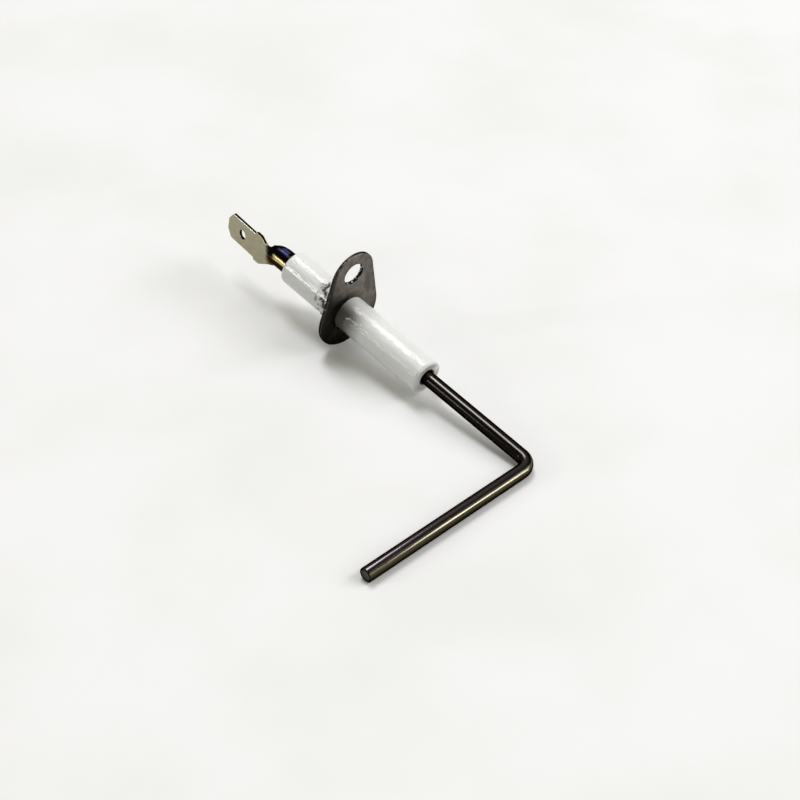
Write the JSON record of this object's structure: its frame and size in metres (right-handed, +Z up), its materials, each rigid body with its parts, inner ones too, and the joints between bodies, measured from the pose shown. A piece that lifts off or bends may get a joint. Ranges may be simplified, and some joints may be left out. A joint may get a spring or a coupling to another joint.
{
  "type": "ignition electrode",
  "caption": "Ignition electrode for a gas burner: bent metal rod in a white ceramic tube, with a screw-on steel flange and a push-on tab.",
  "frame": {"origin": "centre of the bottom of the bounding box, as the electrode rests on a table on its leg and the flange's lower edge", "axes": "+X runs along the ceramic from the tab towards the bend, which lies 7.1 degrees lower; the leg points along -Y; +Z is up, on the screw hole's side"},
  "size_m": [0.095, 0.054, 0.0249],
  "materials": {
    "rod_alloy": "drawn heat-resisting alloy wire, darkened and slightly glossy",
    "glazed_ceramic": "glossy white glaze",
    "flange_steel": "stamped steel, tarnished grey-brown",
    "cement": "rough grey refractory cement",
    "terminal_plating": "dull nickel plate, heat-tinted at the crimp"
  },
  "bodies": {
    "root": {"electrode_rod": "rod_alloy", "ceramic_insulator": "glazed_ceramic", "mounting_flange": "flange_steel", "flange_cement": "cement", "front_rod_cement": "cement", "rear_rod_cement": "cement", "spade_terminal": "terminal_plating"}
  },
  "joints": []
}
